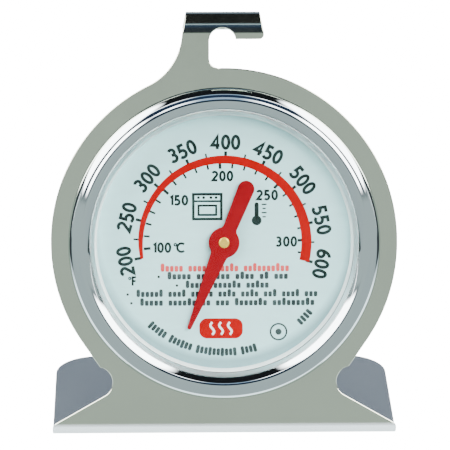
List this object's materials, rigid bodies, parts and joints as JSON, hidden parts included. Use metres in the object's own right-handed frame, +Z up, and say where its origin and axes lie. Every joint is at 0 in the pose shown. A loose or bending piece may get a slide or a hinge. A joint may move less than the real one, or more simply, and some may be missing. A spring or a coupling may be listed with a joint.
{
  "type": "oven thermometer",
  "caption": "Round dial thermometer on a bent steel stand plate with a folded foot, a curled hanging hook and a pointer turned by a bimetal coil.",
  "frame": {"origin": "middle of the whole object's box, on the surface that the foot stands on", "axes": "+Z up, the dial faces -Y and leans back towards +Y, +X to the right as the dial is read"},
  "size_m": [0.0668, 0.0396, 0.0782],
  "materials": {
    "plate_steel": "satin stainless sheet",
    "case_steel": "drawn stainless sheet, satin",
    "bezel_steel": "polished stainless ring",
    "glass": "clear flat glass",
    "gasket": "matt heat-resistant ring",
    "spacer_white": "satin aluminium strip",
    "dial_face": "pale satin metal, printed",
    "bridge_steel": "plain rolled steel",
    "rivet_steel": "bright rivets",
    "bush_brass": "turned brass",
    "bimetal": "heat-tinted bimetal strip",
    "staff_steel": "ground steel",
    "pointer_red": "satin red paint",
    "hub_brass": "polished brass"
  },
  "bodies": {
    "root": {"stand_plate": "plate_steel", "rear_case": "case_steel", "bezel_ring": "bezel_steel", "lens": "glass", "lens_gasket": "gasket", "spacer_ring": "spacer_white", "dial_plate": "dial_face", "movement_bridge": "bridge_steel", "bridge_rivets": "rivet_steel", "front_bush": "bush_brass", "rear_bush": "bush_brass", "coil_anchor": "bridge_steel", "anchor_rivet": "rivet_steel", "bimetal_coil": "bimetal"},
    "pointer": {"pointer_staff": "staff_steel", "pointer_blade": "pointer_red", "pointer_hub": "hub_brass", "coil_collet": "bush_brass", "collet_pin": "staff_steel", "staff_clip": "staff_steel", "thrust_washer": "staff_steel"}
  },
  "joints": [
    {"name": "pointer_turn", "type": "hinge", "parent": "root", "child": "pointer", "pos_m": [0, -0.00914, 0.03642], "axis": [0, 0.9613, -0.2756], "range_deg": [-10, 260.5], "stiffness_Nm_per_rad": 0.001, "deforming": ["bimetal_coil"]}
  ]
}
